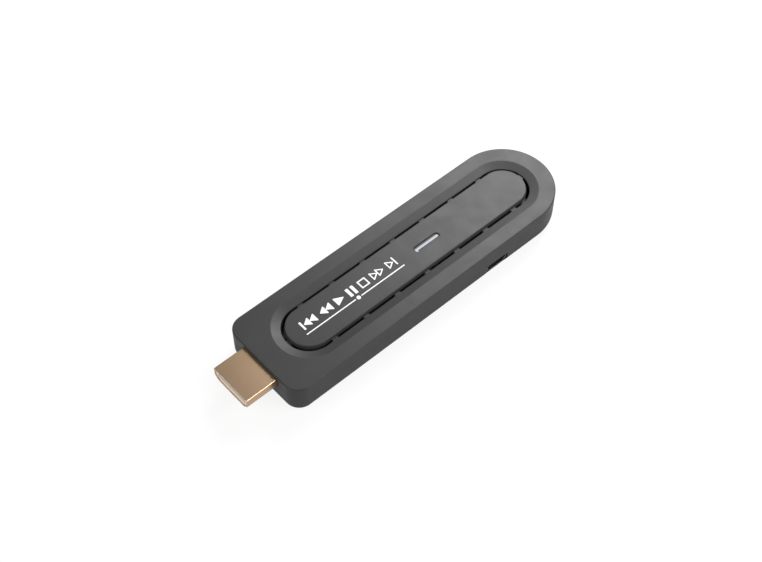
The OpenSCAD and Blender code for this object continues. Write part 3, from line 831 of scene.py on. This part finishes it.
def metal(name, colour, rough, brushed=(1, 1, 1), tarnish=None, drawn=0.02):
    """Plated or rolled sheet: fine drawing lines along one axis, faint blotches, uneven gloss."""
    mat, t, sh = new_material(name)
    lines = noise(t, object_coords(t, brushed), 6.0, 4, 0.6)
    blotch = noise(t, object_coords(t), 0.35, 4, 0.6)
    other = tarnish or shades(colour, 0.88)[0]
    t.links.new(ramp(t, blotch, 0.35, other, 0.65, colour), sh.inputs["Base Color"])
    sh.inputs["Metallic"].default_value = 1.0
    t.links.new(spread(t, lines, rough - 1.5 * drawn, rough + 2.5 * drawn), sh.inputs["Roughness"])
    bump(t, sh, [(blotch, 0.02, 0.02), (lines, drawn, 0.004)])
    return mat


def ceramic(name, body, fleck):
    """Small fired part: body colour with paler flecks."""
    mat, t, sh = new_material(name)
    speck = noise(t, object_coords(t), 3.0, 3, 0.6)
    t.links.new(ramp(t, speck, 0.35, body, 0.7, fleck), sh.inputs["Base Color"])
    t.links.new(spread(t, speck, 0.35, 0.55), sh.inputs["Roughness"])
    bump(t, sh, [(speck, 0.2, 0.05)])
    return mat


def laminate(name, mask, copper):
    """Circuit board: solder mask over tracks and vias, seen as slightly lighter raised lines and dots."""
    mat, t, sh = new_material(name)
    p = object_coords(t)
    black, white = (0, 0, 0, 1), (1, 1, 1, 1)
    tracks = node(t, "ShaderNodeTexBrick", Scale=0.55, Color1=black, Color2=black, Mortar=white, offset=0.37)
    tracks.inputs["Mortar Size"].default_value = 0.06
    vias = node(t, "ShaderNodeTexVoronoi", Scale=0.6)
    for texture in (tracks, vias):
        t.links.new(p, texture.inputs["Vector"])
    lines = ramp(t, tracks.outputs["Color"], 0.3, mask, 0.6, copper)
    dots = ramp(t, vias.outputs["Distance"], 0.12, (0.75, 0.6, 0.35), 0.16, mask)
    t.links.new(blend(t, lines, dots, 1.0, "LIGHTEN"), sh.inputs["Base Color"])
    grain = noise(t, p, 1.5, 4)
    t.links.new(spread(t, grain, 0.28, 0.4), sh.inputs["Roughness"])
    bump(t, sh, [(tracks.outputs["Color"], 0.25, 0.04), (grain, 0.1, 0.03)])
    return mat


def chip_resin(name, colour):
    """Moulded chip package: cloudy, with a fine dull grain."""
    mat, t, sh = new_material(name)
    p = object_coords(t)
    fine = noise(t, p, 7.0, 4, 0.7)
    cloud = noise(t, p, 0.4, 3)
    dark, light = shades(colour, 0.8, 1.3)
    t.links.new(ramp(t, cloud, 0.3, dark, 0.7, light), sh.inputs["Base Color"])
    t.links.new(spread(t, fine, 0.5, 0.7), sh.inputs["Roughness"])
    bump(t, sh, [(fine, 0.3, 0.03)])
    return mat


def glow(name, colour, strength):
    """Milky plastic lit from behind, slightly bluer in places."""
    mat, t, sh = new_material(name)
    p = object_coords(t)
    wave = noise(t, p, 0.5, 2)
    body = ramp(t, wave, 0.3, (0.10, 0.12, 0.14), 0.7, (0.13, 0.13, 0.14))
    t.links.new(body, sh.inputs["Base Color"])
    t.links.new(ramp(t, wave, 0.3, (0.74, 0.80, 0.88), 0.7, colour), sh.inputs["Emission Color"])
    sh.inputs["Emission Strength"].default_value = strength
    t.links.new(spread(t, noise(t, p, 3.0, 3), 0.45, 0.6), sh.inputs["Roughness"])
    sh.inputs["Specular IOR Level"].default_value = 0.2
    bump(t, sh, [(noise(t, p, 2.0, 3), 0.1, 0.05)])
    return mat


def film(name, colour, rough):
    """Thin printed layer or label stock."""
    mat, t, sh = new_material(name)
    p = object_coords(t)
    fine = noise(t, p, 4.0, 4, 0.6)
    dark, light = shades(colour, 0.94, 1)
    t.links.new(ramp(t, noise(t, p, 0.1, 3), 0.3, dark, 0.7, light), sh.inputs["Base Color"])
    t.links.new(spread(t, fine, rough - 0.06, rough + 0.08), sh.inputs["Roughness"])
    bump(t, sh, [(fine, 0.15, 0.02)])
    return mat


CASE_GREY = (0.042, 0.042, 0.042)
M = {
    "case_plastic": plastic("case_plastic", CASE_GREY, 0.40, grain=0.7),
    "panel_plastic": painted_led_glow(plastic("panel_plastic", CASE_GREY, 0.40, grain=0.6)),
    "base_plastic": plastic("base_plastic", (0.038, 0.038, 0.038), 0.42, grain=0.8),
    "label_film": film("label_film", (0.20, 0.205, 0.21), 0.42),
    "light_pipe_plastic": glow("light_pipe_plastic", (0.82, 0.82, 0.87), 0.55),
    "plug_gold": metal("plug_gold", (0.78, 0.54, 0.345), 0.3, (0.15, 1.5, 1.5), (0.755, 0.53, 0.34), 0.004),
    "plug_plastic": plastic("plug_plastic", (0.86, 0.79, 0.69), 0.5, grain=0.4, vary=0.03),
    "contact_gold": metal("contact_gold", (0.9, 0.68, 0.32), 0.25, brushed=(0.2, 3, 3)),
    # socket steel colour is darkened well below bare steel: painted shade for the inside of the USB port
    "socket_steel": metal("socket_steel", (0.26, 0.26, 0.27), 0.35, brushed=(3, 0.2, 3)),
    "socket_plastic": plastic("socket_plastic", (0.03, 0.03, 0.03), 0.5, grain=0.5),
    "board_laminate": laminate("board_laminate", (0.004, 0.014, 0.009), (0.01, 0.035, 0.022)),
    "screw_steel": metal("screw_steel", (0.55, 0.55, 0.56), 0.35),
    "chip_resin": chip_resin("chip_resin", (0.022, 0.022, 0.025)),
    "module_laminate": laminate("module_laminate", (0.01, 0.04, 0.14), (0.03, 0.09, 0.25)),
    "can_steel": metal("can_steel", (0.66, 0.66, 0.67), 0.32, brushed=(0.3, 3, 3)),
    "ferrite": chip_resin("ferrite", (0.06, 0.06, 0.062)),
    "capacitor_ceramic": ceramic("capacitor_ceramic", (0.36, 0.24, 0.14), (0.6, 0.56, 0.5)),
    "resistor_ceramic": ceramic("resistor_ceramic", (0.02, 0.02, 0.02), (0.5, 0.5, 0.5)),
    "antenna_ceramic": ceramic("antenna_ceramic", (0.8, 0.78, 0.7), (0.88, 0.86, 0.8)),
    "led_resin": glow("led_resin", (0.95, 0.97, 1.0), 2.5),
    "pad_silicone": plastic("pad_silicone", (0.42, 0.44, 0.5), 0.7, grain=1.2),
    "spreader_metal": metal("spreader_metal", (0.06, 0.06, 0.065), 0.5, brushed=(0.3, 3, 3)),
    "switch_plastic": plastic("switch_plastic", (0.03, 0.03, 0.032), 0.35, grain=0.3),
    "plunger_plastic": plastic("plunger_plastic", (0.45, 0.06, 0.04), 0.45, grain=0.4),
    "button_plastic": plastic("button_plastic", (0.075, 0.076, 0.078), 0.4, grain=0.6),
    "print_ink": film("print_ink", (0.82, 0.82, 0.82), 0.55),
}

SLOT_OF = {s["node"]: s["material_slot"] for s in frame["record"]["subparts"]}


def soften(name, width):
    """CAD node kept as it is: joined faces and edges rounded by width mm, by modifiers only."""
    obj = nodes[name]
    weld = obj.modifiers.new("weld", "WELD")
    weld.merge_threshold = 1e-7
    bevel = obj.modifiers.new("edges", "BEVEL")
    bevel.limit_method, bevel.angle_limit = "ANGLE", math.radians(40)
    bevel.width, bevel.segments = width * MM, 2
    bevel.harden_normals = False
    bevel.use_clamp_overlap = True


def finish_piece(obj, body, slot, *stands_for):
    obj.data.materials.clear()
    obj.data.materials.append(M[slot])
    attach(obj, body)
    if stands_for:
        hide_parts(*stands_for)


for name, obj in nodes.items():
    obj.data.materials.clear()
    obj.data.materials.append(M[SLOT_OF[name]])

CHIPS = ("system_chip", "ram_chip_1", "ram_chip_2", "flash_chip", "power_chip")
PASSIVES = ("smd_capacitors", "smd_resistors")
RADIO = ("wifi_module", "wifi_shield", "crystal_can", "chip_antenna")
COOLING = ("shield_lid", "heat_spreader", "thermal_pad", "spreader_pad")
SWITCH = ("switch_body", "switch_plunger", "status_led")
CONTACTS = ("hdmi_contacts_upper", "hdmi_contacts_lower", "usb_contacts", "usb_shell")
for name in CHIPS + PASSIVES + RADIO + COOLING + SWITCH + ("usb_tongue", "hdmi_insulator"):
    soften(name, 0.06)
for name in CONTACTS:
    soften(name, 0.03)

finish_piece(make_upper_shell(), "root", "case_plastic", "top_case")
finish_piece(make_lower_shell(), "root", "base_plastic", "bottom_case")
finish_piece(make_panel(), "root", "panel_plastic", "top_panel")
finish_piece(make_plug_shell(), "root", "plug_gold", "hdmi_shell")
finish_piece(make_button(), "button", "button_plastic", "button_cap")
finish_piece(smooth(light_bar(0, SEAT + 0.25, pipe_hi.z)), "root", "light_pipe_plastic", "light_pipe")
finish_piece(make_lens(), "root", "switch_plastic", "light_pipe")
finish_piece(make_print(), "root", "print_ink")
finish_piece(make_label_print(), "root", "print_ink")


# ---------------------------------------------------------------- floor, light, camera
def seen(tree, lighting, shown):
    """Brightness of the studio: `lighting` for the light it gives, `shown` where it is looked at."""
    looked_at = tree.nodes.new("ShaderNodeLightPath").outputs["Is Camera Ray"]
    return spread(tree, looked_at, lighting, shown, 0, 1)


def make_stage():
    bm = bmesh.new()
    bmesh.ops.create_grid(bm, x_segments=8, y_segments=8, size=3.0)
    floor = to_object("floor", bm)
    floor.location.z = -0.02 * MM
    mat, t, sh = new_material("floor_white")
    tone = ramp(t, noise(t, object_coords(t), 0.002, 2), 0.3, (0.115,) * 3, 0.7, (0.125,) * 3)
    t.links.new(tone, sh.inputs["Base Color"])
    sh.inputs["Roughness"].default_value = 0.8
    sh.inputs["Emission Color"].default_value = (1, 1, 1, 1)
    t.links.new(seen(t, 0.46, 0.86), sh.inputs["Emission Strength"])
    floor.data.materials.append(mat)

    world = bpy.data.worlds.new("studio")
    world.use_nodes = True
    tree = world.node_tree
    tree.nodes["Background"].inputs["Color"].default_value = (0.98, 0.99, 1.0, 1)
    tree.links.new(seen(tree, 0.11, 0.87), tree.nodes["Background"].inputs["Strength"])
    bpy.context.scene.world = world


def softbox(name, azimuth, elevation, distance, size, power):
    """Square softbox aimed at the object's middle; azimuth is from +X towards +Y, in degrees."""
    a, e = math.radians(azimuth), math.radians(elevation)
    place = Vector((math.cos(a) * math.cos(e), math.sin(a) * math.cos(e), math.sin(e))) * distance
    data = bpy.data.lights.new(name, "AREA")
    data.shape, data.size, data.size_y, data.energy = "RECTANGLE", size, size, power
    light = bpy.data.objects.new(name, data)
    bpy.context.scene.collection.objects.link(light)
    light.location = place
    light.rotation_euler = (-place).to_track_quat("-Z", "Y").to_euler()


def make_camera():
    """Camera that looks at a point of the floor; azimuth is from -Y towards +X, in degrees."""
    azimuth, elevation, distance = math.radians(-41.8), math.radians(53.17), 0.3832
    target = Vector((END_X + 46.48, 4.22, 0.0)) * MM
    level = math.cos(elevation)
    back = Vector((math.sin(azimuth) * level, -math.cos(azimuth) * level, math.sin(elevation)))
    data = bpy.data.cameras.new("camera")
    data.sensor_width = 36.0
    data.lens = 1350.0 / 762.0 * data.sensor_width
    data.clip_start, data.clip_end = 0.01, 20.0
    camera = bpy.data.objects.new("camera", data)
    camera.location = target + back * distance
    camera.rotation_euler = (-back).to_track_quat("-Z", "Y").to_euler()
    bpy.context.scene.collection.objects.link(camera)
    bpy.context.scene.camera = camera


make_stage()
softbox("key", 26, 42, 0.29, 0.18, 1.10)
softbox("side", -65, 32, 0.45, 0.30, 1.66)
softbox("back", 180, 35, 0.45, 0.30, 0.90)
make_camera()
bpy.context.scene.view_settings.view_transform = "Standard"
bpy.context.scene.view_settings.look = "None"
